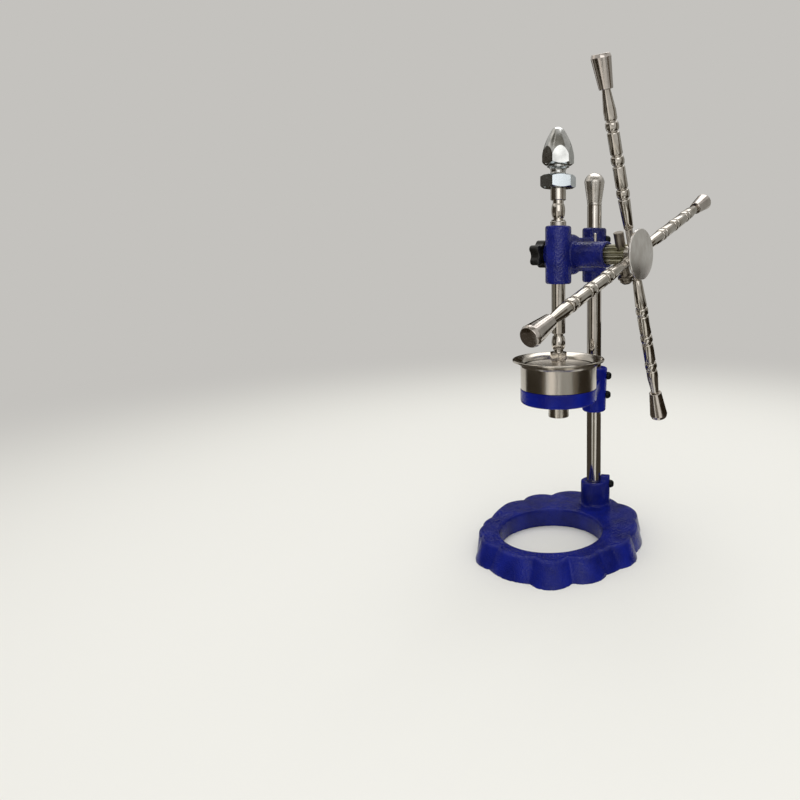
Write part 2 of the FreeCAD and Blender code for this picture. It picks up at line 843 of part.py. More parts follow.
def make_press_plate():
    """The press plate with its knurled collar above and its round nut let in below."""
    bore = s.plate_stud_diameter / 2 + s.fit
    edge = s.edge_break
    foot = s.collar_foot_diameter / 2
    foot_height = s.collar_foot_height - edge
    middle = s.collar_diameter / 2 - s.knurl_depth - edge
    top = s.collar_foot_height + s.collar_height
    blank = turned("collar_blank", [
        (bore, 0),
        (foot, 0),
        (foot, foot_height),
        (bore + edge * 2, foot_height),
        (bore + edge * 2, s.collar_foot_height),
        (middle, s.collar_foot_height),
        (s.collar_diameter, s.collar_foot_height + s.collar_diameter - middle),
        (s.collar_diameter, top - s.collar_diameter + middle + s.collar_height),
        (bore, top + s.collar_height),
    ])
    knurl = solid_feature("collar_knurl", knurled_ring())
    knurl.Placement = Placement(Vector(0, 0, s.collar_foot_height.value), UP)
    stem = rod("collar_stem", foot, s.collar_foot_height)
    shape = joined("collar_shape", [knurl, stem])
    collar = keep(common("plate_collar", blank, shape))
    put(collar, 0, -s.arm_reach, plate_top)

    radius = s.plate_diameter / 2
    recess = s.plate_nut_diameter / 2 + s.fit
    depth = s.plate_nut_height + s.seat
    plate = keep(turned("press_plate", [
        (recess, 0),
        (radius - edge * 2, 0),
        (radius, edge * 2),
        (radius, s.plate_thickness - edge),
        (radius - edge, s.plate_thickness),
        (bore, s.plate_thickness),
        (bore, depth),
        (recess, depth),
    ]))
    put(plate, 0, -s.arm_reach, plate_bottom)
    nut = make_bush("press_plate_nut", bore, s.plate_nut_diameter / 2, s.plate_nut_height)
    put(nut, 0, -s.arm_reach, plate_bottom + s.seat)


def tooth_flank(side, middle):
    """One involute side of a pinion tooth, from its root to its tip."""
    pitch = pitch_radius.value
    pressure = math.radians(s.pressure_angle.value)
    base = pitch * math.cos(pressure)
    half = (tooth_pitch / 2 - s.tooth_play.value) / (2 * pitch)
    opening = half + math.tan(pressure) - pressure

    def point(radius, turn):
        angle = middle + side * turn
        return Vector(radius * math.cos(angle), radius * math.sin(angle), 0)

    steps = 6
    curve = []
    for step in range(steps + 1):
        radius = base + (pinion_tip_radius.value - base) * step / steps
        roll = math.acos(min(1.0, base / radius))
        curve.append(point(radius, opening - (math.tan(roll) - roll)))
    return point(pinion_root_radius.value, opening), curve


def pinion_teeth(length):
    """The toothed bar, standing on its own axis, with a gap between teeth towards the rack."""
    count = int(s.pinion_tooth_count.value)
    edges = []
    previous = None
    first = None
    for tooth in range(count):
        middle = -math.pi / 2 + 2 * math.pi * (tooth + 0.5) / count
        low_root, low = tooth_flank(-1, middle)
        high_root, high = tooth_flank(1, middle)
        if previous:
            edges.append(Part.LineSegment(previous, low_root).toShape())
        first = first or low_root
        rise = Part.BSplineCurve()
        rise.interpolate(low)
        fall = Part.BSplineCurve()
        fall.interpolate(high[::-1])
        edges.append(Part.LineSegment(low_root, low[0]).toShape())
        edges.append(rise.toShape())
        edges.append(Part.LineSegment(low[-1], high[-1]).toShape())
        edges.append(fall.toShape())
        edges.append(Part.LineSegment(high[0], high_root).toShape())
        previous = high_root
    edges.append(Part.LineSegment(previous, first).toShape())
    return Part.Face(Part.Wire(edges)).extrude(Vector(0, 0, length))


def make_pinion():
    """The toothed bar with its journal behind, a groove for the nose pin and the seat of the hub."""
    back = s.rear_bush_length - s.barrel_back + s.seat
    length = s.hub_back - back
    bar = solid_feature("pinion_bar", pinion_teeth(length.value))
    put(bar, back, shaft_y, shaft_height, RIGHT)
    journal = rod("pinion_journal", s.pinion_journal_diameter / 2, s.rear_bush_length + s.seat)
    put(journal, -s.barrel_back, shaft_y, shaft_height, RIGHT)
    seat = rod("pinion_seat", s.hub_seat_diameter / 2, s.hub_seat_length - s.seat)
    put(seat, s.hub_back, shaft_y, shaft_height, RIGHT)
    blank = joined("pinion_blank", [bar, journal, seat])
    groove = make_groove("pinion_groove")
    cross_hole = rod("pinion_cross_hole", s.cross_diameter / 2 + s.fit, pinion_tip_radius * 2 + s.seat * 2)
    put_on_bar(cross_hole, -(pinion_tip_radius + s.seat))
    keep(cut_away("pinion", blank, [groove, cross_hole]))

    pin_foot = pinion_root_radius + s.fit
    pin_top = s.nose_diameter / 2 + s.nose_pin_height
    pin_radius = s.nose_pin_diameter / 2
    pin = keep(turned("nose_pin", [
        (0, 0),
        (pin_radius, 0),
        (pin_radius, pin_top - pin_foot - s.edge_break),
        (pin_radius - s.edge_break, pin_top - pin_foot),
        (0, pin_top - pin_foot),
    ]))
    put(pin, s.pinion_groove_place, shaft_y, shaft_height + pin_foot)


def put_on_bar(piece, along):
    """Places a piece on the axis of the cross bar, this far up from the pinion's axis."""
    direction = spoke_direction(0).multVec(Vector(0, 0, 1))
    along = as_size(along)
    return put(piece, s.cross_place, shaft_y + along * direction.y, shaft_height + along * direction.z,
               spoke_direction(0))


def make_cross_bar():
    """The round bar through the pinion, with a grooved flange and a head at its lower end."""
    bar = s.cross_diameter / 2
    head = s.cross_head_diameter / 2
    flange = s.cross_flange_diameter / 2
    flange_high = s.cross_drop - s.cross_flange_place
    flange_low = flange_high - s.cross_flange_height
    top = s.cross_drop + s.cross_rise
    chamfer = s.edge_break * 4
    groove = s.edge_break
    piece = keep(turned("pinion_cross_bar", [
        (0, 0),
        (head - chamfer, 0),
        (head, chamfer),
        (head, s.cross_head_height - groove),
        (head - groove, s.cross_head_height - groove),
        (head - groove, flange_low),
        (flange, flange_low),
        (flange, flange_high - groove),
        (flange - groove, flange_high),
        (bar, flange_high + s.cross_flange_round, -s.cross_flange_round),
        (bar, top - s.edge_break),
        (bar - s.edge_break, top),
        (0, top),
    ]))
    put_on_bar(piece, -s.cross_drop)


def make_groove(label):
    """The ring that is turned out of the teeth for the nose pin."""
    ring = turned(label, [
        (pinion_root_radius - s.seat, 0),
        (pinion_tip_radius + s.seat, 0),
        (pinion_tip_radius + s.seat, s.pinion_groove_width),
        (pinion_root_radius - s.seat, s.pinion_groove_width),
    ])
    place = s.pinion_groove_place - s.pinion_groove_width / 2
    return put(ring, place, shaft_y, shaft_height, RIGHT)


def star_solid():
    """The star knob: lobes and hollows in turn, with every edge rounded."""
    count = int(s.star_lobe_count.value)
    lobe = s.star_lobe_diameter.value / 2
    centre = s.star_diameter.value / 2 - lobe
    hollow = s.star_hollow_place.value
    spread = math.radians(s.star_lobe_spread.value)

    def point(angle, radius):
        return Vector(radius * math.cos(angle), radius * math.sin(angle), 0)

    edges = []
    first = math.radians(s.star_turn.value)
    for number in range(count):
        turn = first + 2 * math.pi * number / count
        middle = point(turn, centre)
        start = middle + point(turn - spread, lobe)
        end = middle + point(turn + spread, lobe)
        edges.append(Part.Arc(start, point(turn, centre + lobe), end).toShape())
        following = turn + 2 * math.pi / count
        after = point(following, centre) + point(following - spread, lobe)
        edges.append(Part.Arc(end, point((turn + following) / 2, hollow), after).toShape())
    solid = Part.Face(Part.Wire(edges)).extrude(Vector(0, 0, s.star_thickness.value))
    return solid.makeFillet(s.star_edge_round.value, solid.Edges)


def make_brake():
    """The brake screw in the wall of the guide tube: star knob, stud and the pad that meets the rack."""
    stud = s.brake_stud_diameter / 2
    inner = s.guide_tube_diameter / 2 + s.star_stand_off
    star = solid_feature("star_blank", star_solid())
    put(star, -inner, -s.arm_reach, shaft_height, LEFT)
    neck = rod("star_neck", stud + s.edge_break * 4, s.star_stand_off)
    put(neck, s.seat - inner, -s.arm_reach, shaft_height, LEFT)
    socket = rod("star_socket", stud + s.fit, s.star_stand_off + s.star_socket_depth)
    put(socket, s.star_stand_off - inner, -s.arm_reach, shaft_height, LEFT)
    keep(cut_away("star_knob", joined("star_shape", [star, neck]), [socket]))

    pad_face = s.rack_diameter / 2 + s.seat
    stud_start = pad_face + s.brake_pad_length
    stud_end = inner + s.star_socket_depth - s.seat - s.star_stand_off
    screw = keep(turned("star_knob_stud", [
        (0, 0),
        (stud - s.edge_break, 0),
        (stud, s.edge_break),
        (stud, stud_end - stud_start),
        (0, stud_end - stud_start),
    ]))
    put(screw, -stud_start, -s.arm_reach, shaft_height, LEFT)
    pad = keep(rod("brake_pad", stud, s.brake_pad_length - s.seat))
    put(pad, -pad_face, -s.arm_reach, shaft_height, LEFT)


def spoke_direction(number):
    """The turn about the pinion that stands a spoke in its place."""
    return Rotation(Vector(1, 0, 0), s.wheel_turn.value + 90 * number)


def spoke_place(number):
    """Where along the pinion a spoke sits: the two pairs pass each other."""
    return s.hub_back + (s.upright_pair_place if number % 2 == 0 else s.level_pair_place)


def spoke_bores(label):
    """The four holes that the spokes are screwed into."""
    bores = []
    for number in range(4):
        bore = rod(f"{label}_{number + 1}", s.spoke_stud_diameter / 2 + s.fit, s.spoke_start)
        bores.append(put(bore, spoke_place(number), shaft_y, shaft_height, spoke_direction(number)))
    return bores


def make_hub():
    """The hub: a round body that the spokes are screwed into and a domed disc in front of it."""
    radius = s.hub_diameter / 2
    length = hub_front - s.hub_back
    core = turned("hub_core", [
        (0, 0),
        (radius - s.edge_break, 0),
        (radius, s.edge_break),
        (radius, length),
        (0, length),
    ])
    put(core, s.hub_back, shaft_y, shaft_height, RIGHT)
    bore = rod("hub_bore", s.hub_seat_diameter / 2 + s.fit, length)
    put(bore, s.hub_back, shaft_y, shaft_height, RIGHT)
    keep(cut_away("hub_body", core, [bore] + spoke_bores("hub_spoke_bore")))

    disc_radius = s.hub_disc_diameter / 2
    spigot = s.hub_seat_diameter / 2
    low = length - s.hub_seat_length
    edge_top = low + s.hub_disc_edge
    disc = keep(turned("hub_disc", [
        (0, 0),
        (spigot, 0),
        (spigot, low),
        (disc_radius - s.edge_break, low),
        (disc_radius, low + s.edge_break),
        (disc_radius, edge_top - s.edge_break),
        (disc_radius - s.edge_break, edge_top),
        (0, edge_top + s.hub_disc_dome, dome_radius(disc_radius - s.edge_break, s.hub_disc_dome)),
    ]))
    put(disc, s.hub_back + s.hub_seat_length, shaft_y, shaft_height, RIGHT)


def bead_corners(centre):
    """The outline across one bead: groove, ring, groove, bead and groove, from the hub outwards."""
    bar = s.spoke_diameter / 2
    groove = s.bead_groove_diameter / 2
    ring = bar + s.edge_break / 3
    bead_edge = s.bead_diameter / 2 - s.edge_break * 2
    bead_low = centre - s.bead_length / 2
    bead_high = centre + s.bead_length / 2
    flat = s.bead_groove_length
    slope = flat / 2
    ring_high = bead_low - flat - slope
    ring_low = ring_high - s.bead_ring_length
    return [
        (bar, ring_low - slope - flat * 2),
        (groove, ring_low - slope - flat),
        (groove, ring_low - slope),
        (ring, ring_low),
        (ring, ring_high),
        (groove, ring_high + slope),
        (bead_edge, bead_low),
        (bead_edge, bead_high, s.bead_round),
        (groove, bead_high + slope),
        (groove, bead_high + slope + flat),
        (bar, bead_high + slope + flat * 2),
    ]


def make_spokes():
    """Four turned spokes with three beads each, and the flared grips on their ends."""
    stud = s.spoke_stud_diameter / 2
    inner = s.hub_seat_diameter / 2 + s.edge_break
    tip = s.spoke_tip_diameter / 2
    neck = s.spoke_neck_diameter / 2
    tip_end = s.grip_start + s.grip_hole_depth - s.seat
    small = s.grip_small_diameter / 2
    large = s.grip_large_diameter / 2
    face = s.grip_face_diameter / 2
    hole = tip + s.fit
    for number in range(4):
        outline = [
            (0, inner),
            (stud, inner),
            (stud, s.spoke_start),
            (s.spoke_root_diameter / 2, s.spoke_start),
            (s.spoke_diameter / 2, s.spoke_taper_end),
        ]
        for bead in range(3):
            outline += bead_corners(s.first_bead + s.bead_spacing * bead)
        outline += [
            (s.spoke_diameter / 2, s.spoke_shoulder),
            (neck, s.grip_start - s.seat),
            (neck, s.grip_start + s.edge_break * 4),
            (tip, s.grip_start + s.edge_break * 4),
            (tip, tip_end),
            (0, tip_end),
        ]
        spoke = keep(turned(f"spoke_{number + 1}", outline))
        put(spoke, spoke_place(number), shaft_y, shaft_height, spoke_direction(number))
        hollow = s.edge_break * 4
        grip = turned(f"spoke_grip_{number + 1}", [
            (neck + s.edge_break * 1.5, 0),
            (small - s.edge_break, 0),
            (small, s.edge_break),
            (large, s.grip_length - s.edge_break * 4),
            (large, s.grip_length - s.edge_break * 3),
            (face, s.grip_length),
            (0, s.grip_length),
            (0, s.grip_hole_depth),
            (hole, s.grip_hole_depth),
            (hole, hollow),
            (neck + s.edge_break * 1.5, hollow),
        ])
        reach = spoke_direction(number).multVec(Vector(0, 0, 1))
        keep(put(grip, spoke_place(number), shaft_y + s.grip_start * reach.y,
                 shaft_height + s.grip_start * reach.z, spoke_direction(number)))


def make_holder():
    """The cup holder casting: a dished ring, a web that rises to the column and a collar."""
    outer = s.holder_ring_diameter / 2
    inner = outer - s.holder_ring_wall
    edge = s.holder_edge_round
    ring = turned("holder_ring", [
        (0, 0),
        (outer - edge, 0),
        (outer, edge, edge),
        (outer, s.holder_ring_height - s.edge_break),
        (outer - s.edge_break, s.holder_ring_height),
        (0, s.holder_ring_height),
    ])
    put(ring, 0, -s.arm_reach, s.holder_bottom)
    low_radius = s.holder_collar_low_diameter / 2
    high_radius = s.holder_collar_high_diameter / 2
    length = s.holder_collar_length
    corner = s.head_edge_round
    collar = turned("holder_collar", [
        (0, 0),
        (low_radius - corner, 0),
        (low_radius, corner, corner),
        (high_radius, length - corner),
        (high_radius - corner, length, corner),
        (0, length),
    ])
    put(collar, 0, 0, holder_collar_bottom)
    web = doc.addObject("Part::Wedge", "holder_web")
    wedge = {
        "Xmin": -s.holder_web_outer_width / 2, "Xmax": s.holder_web_outer_width / 2,
        "X2min": -s.holder_web_inner_width / 2, "X2max": s.holder_web_inner_width / 2,
        "Ymin": s.holder_web_start - s.arm_reach, "Ymax": -low_radius / 2,
        "Zmin": s.edge_break * 2, "Zmax": s.holder_ring_height - s.holder_web_drop,
        "Z2min": s.edge_break * 2, "Z2max": s.holder_ring_height - s.holder_web_drop,
    }
    for name, side in wedge.items():
        setattr(web, name, side.value)
    for name, side in wedge.items():
        web.setExpression(name, side.text)
    put(web, 0, 0, s.holder_bottom)
    blank = joined("holder_blank", [ring, collar, web])

    well = rod("holder_well", inner, s.holder_ring_height)
    put(well, 0, -s.arm_reach, s.holder_bottom + s.holder_floor)
    drain = rod("holder_drain", s.holder_hole_diameter / 2, s.holder_floor + s.seat * 2)
    put(drain, 0, -s.arm_reach, s.holder_bottom - s.seat)
    cup_room = rod("holder_cup_room", s.cup_diameter / 2 + s.seat * 2, s.cup_height)
    put(cup_room, 0, -s.arm_reach, holder_top)
    bore = rod("holder_bore", column_radius + s.fit, s.holder_collar_length + s.seat * 2)
    put(bore, 0, 0, holder_collar_bottom - s.seat)
    low_hole = put_clamp(screw_hole("holder_low_hole"), 0, holder_collar_bottom + s.holder_screw_low)
    high_hole = put_clamp(screw_hole("holder_high_hole"), 0, holder_collar_bottom + s.holder_screw_high)
    keep(cut_away("cup_holder_casting", blank, [well, drain, cup_room, bore, low_hole, high_hole]))

    taper = (high_radius - low_radius).value / (length - corner * 2).value
    places = {"cup_holder_screw_lower": s.holder_screw_low, "cup_holder_screw_upper": s.holder_screw_high}
    for label, height in places.items():
        head_top = height + s.screw_head_diameter / 2
        screw = keep(clamp_screw(label, low_radius + (head_top - corner) * taper))
        put_clamp(screw, column_radius + s.seat, holder_collar_bottom + height)


def make_cup():
    """The cup with its flared rim, the strainer on its floor and the spout below."""
    body = s.cup_diameter / 2
    wall = s.cup_wall
    lower = s.holder_ring_diameter / 2 - s.holder_ring_wall - s.seat
    shoulder = cup_shoulder - cup_bottom
    rim_low = shoulder + s.cup_height - s.cup_rim_height
    rim_high = shoulder + s.cup_height
    rim = s.cup_rim_diameter / 2
    drain = s.spout_diameter / 2 - wall
    flare = s.cup_rim_height - s.cup_rim_edge
    cup = keep(turned("cup", [
        (drain, 0),
        (lower - wall, 0),
        (lower, wall, wall),
        (lower, shoulder),
        (body, shoulder),
        (body, rim_low),
        (rim, rim_low + flare, -s.cup_flare_round_outside),
        (rim, rim_high - wall / 2),
        (rim - wall / 2, rim_high),
        (rim - wall * 2, rim_high),
        (body - wall, rim_low + wall, s.cup_flare_round_inside),
        (body - wall, shoulder + wall),
        (lower - wall, shoulder + wall),
        (lower - wall, wall),
        (drain, wall),
    ]))
    put(cup, 0, -s.arm_reach, cup_bottom)
    spout = s.spout_diameter / 2
    tube = keep(turned("spout", [
        (spout - wall, 0),
        (spout - wall / 4, 0),
        (spout, wall / 4),
        (spout, s.spout_length),
        (spout - wall, s.spout_length),
    ]))
    put(tube, 0, -s.arm_reach, cup_bottom - s.spout_length)

    outer = lower - wall - s.seat
    strainer = turned("strainer_blank", [
        (outer - wall, 0),
        (outer, 0),
        (outer, s.strainer_height),
        (0, s.strainer_height),
        (0, s.strainer_height - s.strainer_thickness),
        (outer - wall, s.strainer_height - s.strainer_thickness),
    ])
    put(strainer, 0, -s.arm_reach, cup_bottom + wall)
    holes = []
    drill_radius = s.strainer_hole_diameter.value / 2
    spacing = s.strainer_hole_spacing.value
    rings = int((outer.value - wall.value - drill_radius * 2) / spacing)
    for ring in range(1, rings + 1):
        count = 6 * ring
        for number in range(count):
            turn = 2 * math.pi * number / count
            place = Vector(ring * spacing * math.cos(turn), ring * spacing * math.sin(turn), 0)
            holes.append(Part.makeCylinder(drill_radius, s.strainer_height.value * 2, place))
    drill = solid_feature("strainer_holes", Part.makeCompound(holes))
    put(drill, 0, -s.arm_reach, cup_bottom)
    keep(cut_away("strainer", strainer, [drill]))


def write_parts():
    """Checks every object and writes each finished piece to its own file."""
    doc.recompute()
    for piece in doc.Objects:
        if "Invalid" in piece.State or "Error" in piece.State:
            raise RuntimeError(f"{piece.Label} did not build: {piece.State}")
    os.makedirs("parts", exist_ok=True)
    for piece in parts:
        shape = piece.Shape
        if shape.isNull() or not shape.isValid() or not shape.Solids:
            raise RuntimeError(f"{piece.Label} has no valid solid")
        shape.exportStep(f"parts/{piece.Label}.step")
        box = shape.BoundBox
        print(f"{piece.Label:24s} {len(shape.Solids)} {shape.Volume / 1000:9.2f} cm3 "
              f"x {box.XMin:7.1f} {box.XMax:7.1f} y {box.YMin:7.1f} {box.YMax:7.1f} "
              f"z {box.ZMin:7.1f} {box.ZMax:7.1f}")


make_base()
make_column()
make_head()
make_bushes()
make_rack()
make_rack_nut()
make_finial()
make_press_plate()
make_pinion()
make_cross_bar()
make_brake()
make_hub()
make_spokes()
make_holder()
make_cup()
write_parts()
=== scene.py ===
import json
import math

import bmesh
import bpy
from mathutils import Matrix, Vector


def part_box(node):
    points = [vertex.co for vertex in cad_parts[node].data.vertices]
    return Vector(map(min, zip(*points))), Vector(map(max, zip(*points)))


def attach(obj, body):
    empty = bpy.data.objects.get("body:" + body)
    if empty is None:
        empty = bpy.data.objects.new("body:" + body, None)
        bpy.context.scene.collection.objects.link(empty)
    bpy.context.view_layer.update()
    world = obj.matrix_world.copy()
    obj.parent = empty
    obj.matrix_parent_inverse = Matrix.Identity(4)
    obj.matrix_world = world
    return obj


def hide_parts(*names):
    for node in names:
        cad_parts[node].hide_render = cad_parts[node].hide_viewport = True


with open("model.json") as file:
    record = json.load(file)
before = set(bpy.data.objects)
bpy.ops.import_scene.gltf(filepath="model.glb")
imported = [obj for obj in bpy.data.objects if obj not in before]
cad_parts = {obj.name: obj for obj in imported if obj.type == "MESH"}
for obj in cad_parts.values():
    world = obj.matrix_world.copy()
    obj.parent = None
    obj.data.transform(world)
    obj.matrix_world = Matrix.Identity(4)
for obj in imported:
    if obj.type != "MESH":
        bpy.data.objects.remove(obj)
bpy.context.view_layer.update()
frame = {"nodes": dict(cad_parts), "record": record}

# Looks of a rack-and-pinion fruit press: blue enamelled castings and bright turned steel.
# Everything is in metres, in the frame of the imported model.

nodes = frame["nodes"]
record = frame["record"]
slot_of = {part["node"]: part["material_slot"] for part in record["subparts"]}
body_of = {node: body for body, members in record["behaviour"]["bodies"].items() for node in members}

MM = 0.001

# Places read from the frame
wheel_axis = sum(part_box("hub_body"), Vector()) / 2


# Finishes


def linear(code):
    """The linear colour of an sRGB hex code."""
    channels = [int(code[place:place + 2], 16) / 255 for place in (0, 2, 4)]
    toned = [c / 12.92 if c <= 0.04045 else ((c + 0.055) / 1.055) ** 2.4 for c in channels]
    return (*toned, 1.0)


def per(millimetres):
    """The scale that gives a pattern features of this many millimetres."""
    return 1 / (millimetres * MM)


def add_node(material, kind, inputs, stops=(), **settings):
    """Adds a node with its settings; an input is a plain value or another node's output."""
    node = material.node_tree.nodes.new("ShaderNode" + kind)
    for name, value in settings.items():
        setattr(node, name, value)
    for name, value in inputs.items():
        if isinstance(value, bpy.types.NodeSocket):
            material.node_tree.links.new(value, node.inputs[name])
        else:
            node.inputs[name].default_value = value
    for number, (place, code) in enumerate(stops):
        if number > 1:
            node.color_ramp.elements.new(place)
        node.color_ramp.elements[number].position = place
        node.color_ramp.elements[number].color = linear(code)
    return node


def new_finish(name, **uniform):
    """A material with the standard surface shader and the values that are the same all over."""
    material = bpy.data.materials.new(name)
    material.use_nodes = True
    shader = material.node_tree.nodes["Principled BSDF"]
    for socket, value in uniform.items():
        shader.inputs[socket.replace("_", " ")].default_value = value
    return material, shader


def link(material, output, shader, socket):
    """Links a node's output to one of the shader's inputs."""
    material.node_tree.links.new(output, shader.inputs[socket])


def enamel(name, deep, bright, skin, cell, gloss, shine):
    """Gloss enamel on a sand casting: deep blue whose shine breaks into specks over a leathery skin."""
    material, shader = new_finish(name, Specular_IOR_Level=shine)
    where = add_node(material, "TexCoord", {}).outputs["Object"]
    clouds = add_node(material, "TexNoise", {"Vector": where, "Scale": per(26), "Detail": 3.0})
    tint = add_node(material, "ValToRGB", {"Fac": clouds.outputs["Fac"]},
                    stops=[(0.32, deep), (0.7, bright)])
    link(material, tint.outputs["Color"], shader, "Base Color")
    pools = add_node(material, "TexNoise", {"Vector": where, "Scale": per(9), "Detail": 2.0})
    dull = add_node(material, "MapRange", {"Value": pools.outputs["Fac"], "From Min": 0.3, "From Max": 0.7,
                                           "To Min": gloss * 0.7, "To Max": gloss * 1.5})
    link(material, dull.outputs["Result"], shader, "Roughness")
    waves = add_node(material, "TexNoise", {"Vector": where, "Scale": per(13), "Detail": 1.0})
    swell = add_node(material, "Bump", {"Height": waves.outputs["Fac"], "Distance": skin * 4 * MM,
                                        "Strength": 0.5})
    cells = add_node(material, "TexVoronoi", {"Vector": where, "Scale": per(cell), "Smoothness": 0.6},
                     feature="SMOOTH_F1")
    leather = add_node(material, "Bump", {"Height": cells.outputs["Distance"], "Distance": skin * 4 * MM,
                                          "Strength": 1.0, "Normal": swell.outputs["Normal"]})
    sand = add_node(material, "TexNoise", {"Vector": where, "Scale": per(1.2), "Detail": 3.0,
                                           "Roughness": 0.6})
    grain = add_node(material, "Bump", {"Height": sand.outputs["Fac"], "Distance": skin * MM,
                                        "Strength": 0.8, "Normal": leather.outputs["Normal"]})
    link(material, grain.outputs["Normal"], shader, "Normal")
    return material


def turned_steel(name, tones, smooth, rough, line_height):
    """Turned and polished bar: smudges in the gloss, a breath of tarnish and the faintest lathe lines."""
    material, shader = new_finish(name, Metallic=1.0)
    where = add_node(material, "TexCoord", {}).outputs["Object"]
    smudges = add_node(material, "TexNoise", {"Vector": where, "Scale": per(11), "Detail": 4.0})
    tint = add_node(material, "ValToRGB", {"Fac": smudges.outputs["Fac"]},
                    stops=[(0.3, tones[0]), (0.7, tones[1])])
    link(material, tint.outputs["Color"], shader, "Base Color")
    dull = add_node(material, "MapRange", {"Value": smudges.outputs["Fac"], "From Min": 0.3,
                                           "From Max": 0.7, "To Min": smooth, "To Max": rough})
    link(material, dull.outputs["Result"], shader, "Roughness")
    lines = add_node(material, "TexNoise", {"Vector": where, "Scale": per(0.5), "Detail": 1.0})
    marks = add_node(material, "Bump", {"Height": lines.outputs["Fac"], "Distance": line_height * MM,
                                        "Strength": 0.6})
    link(material, marks.outputs["Normal"], shader, "Normal")
    return material


def brushed_sheet(name, tones, smooth, rough, streak, stretch):
    """Stainless sheet brushed along one way: fine streaks, and reflections drawn out into soft bands."""
    material, shader = new_finish(name, Metallic=1.0)
    where = add_node(material, "TexCoord", {}).outputs["Object"]
    along = add_node(material, "Mapping", {"Vector": where, "Scale": stretch}).outputs["Vector"]
    hairs = add_node(material, "TexNoise", {"Vector": along, "Scale": per(streak), "Detail": 3.0})
    tint = add_node(material, "ValToRGB", {"Fac": hairs.outputs["Fac"]},
                    stops=[(0.3, tones[0]), (0.7, tones[1])])
    link(material, tint.outputs["Color"], shader, "Base Color")
    dull = add_node(material, "MapRange", {"Value": hairs.outputs["Fac"], "From Min": 0.3,
                                           "From Max": 0.7, "To Min": smooth, "To Max": rough})
    link(material, dull.outputs["Result"], shader, "Roughness")
    brushing = add_node(material, "Bump", {"Height": hairs.outputs["Fac"], "Distance": 0.02 * MM,
                                           "Strength": 0.5})
    link(material, brushing.outputs["Normal"], shader, "Normal")
    return material


def cut_steel(name, tones, gloss):
    """Milled teeth under a film of oil: olive and straw streaks and a broken, duller shine."""
    material, shader = new_finish(name, Metallic=1.0)
    where = add_node(material, "TexCoord", {}).outputs["Object"]
    along = add_node(material, "Mapping", {"Vector": where, "Scale": (0.25, 1, 1)}).outputs["Vector"]
    film = add_node(material, "TexNoise", {"Vector": along, "Scale": per(4), "Detail": 3.0})
    tint = add_node(material, "ValToRGB", {"Fac": film.outputs["Fac"]},
                    stops=[(0.35, tones[0]), (0.65, tones[1])])
    link(material, tint.outputs["Color"], shader, "Base Color")
    dull = add_node(material, "MapRange", {"Value": film.outputs["Fac"], "From Min": 0.3,
                                           "From Max": 0.7, "To Min": gloss * 0.8, "To Max": gloss * 1.3})
    link(material, dull.outputs["Result"], shader, "Roughness")
    tooling = add_node(material, "TexNoise", {"Vector": where, "Scale": per(0.6), "Detail": 2.0})
    marks = add_node(material, "Bump", {"Height": tooling.outputs["Fac"], "Distance": 0.04 * MM,
                                        "Strength": 0.6})
    link(material, marks.outputs["Normal"], shader, "Normal")
    return material


def black_finish(name, tones, gloss, metallic, grain):
    """Blackened steel or moulded phenolic: near black, with a fine grain that softens the highlight."""
    material, shader = new_finish(name, Metallic=metallic)
    where = add_node(material, "TexCoord", {}).outputs["Object"]
    clouds = add_node(material, "TexNoise", {"Vector": where, "Scale": per(6), "Detail": 3.0})
    tint = add_node(material, "ValToRGB", {"Fac": clouds.outputs["Fac"]},
                    stops=[(0.3, tones[0]), (0.8, tones[1])])
    link(material, tint.outputs["Color"], shader, "Base Color")
    dull = add_node(material, "MapRange", {"Value": clouds.outputs["Fac"], "From Min": 0.3,
                                           "From Max": 0.7, "To Min": gloss * 0.85, "To Max": gloss * 1.2})
    link(material, dull.outputs["Result"], shader, "Roughness")
    pits = add_node(material, "TexNoise", {"Vector": where, "Scale": per(grain), "Detail": 2.0})
    skin = add_node(material, "Bump", {"Height": pits.outputs["Fac"], "Distance": 0.05 * MM,
                                       "Strength": 0.7})
    link(material, skin.outputs["Normal"], shader, "Normal")
    return material


FINISHES = {
    "blue_enamel": enamel("blue_enamel", "0B1048", "192176", 0.15, 2.4, 0.15, 0.38),
    "bright_blue_enamel": enamel("bright_blue_enamel", "0A1474", "0F208C", 0.07, 1.6, 0.15, 0.2),
    "polished_steel": turned_steel("polished_steel", ("BDB6AB", "D8D3CC"), 0.06, 0.16, 0.006),
    "satin_steel": turned_steel("satin_steel", ("BDB7AF", "D0CBC5"), 0.26, 0.36, 0.01),
    "zinc_steel": turned_steel("zinc_steel", ("BCC4C9", "D0D8DD"), 0.12, 0.24, 0.006),
    "tooth_steel": cut_steel("tooth_steel", ("A8A58C", "D2D0BC"), 0.34),
    "brass": turned_steel("brass", ("C9A25C", "DDB974"), 0.16, 0.26, 0.005),
    "black_screw": black_finish("black_screw", ("101214", "26282A"), 0.34, 0.8, 0.8),
    "black_plastic": black_finish("black_plastic", ("0C0C0B", "1C1C1B"), 0.42, 0.0, 0.7),
}
BASE_ENAMEL = enamel("base_enamel", "0A125A", "152080", 0.10, 1.6, 0.15, 0.25)
DRAWN_BAR = turned_steel("drawn_bright_bar", ("C6C0B8", "D2CDC6"), 0.05, 0.10, 0.002)
SATIN_CAP = turned_steel("satin_cap", ("C9C4BC", "E0DCD6"), 0.22, 0.30, 0.01)
SATIN_GRIP = turned_steel("satin_grip", ("BDB5AE", "D5CEC8"), 0.09, 0.20, 0.008)
DULL_ZINC = turned_steel("dull_zinc", ("A9AAA8", "DADBD9"), 0.12, 0.22, 0.012)
# The cross bar behind the hub disc: steel toned down to brown as painted shade and painted reflection of
# dark surroundings
SHADED_CROSS_BAR = turned_steel("painted_shade_cross_bar", ("7E766B", "A29A8F"), 0.30, 0.42, 0.01)
CUP_SHEET = brushed_sheet("brushed_cup_sheet", ("C6BFB4", "DAD5CD"), 0.16, 0.24, 0.6, (1, 1, 12))
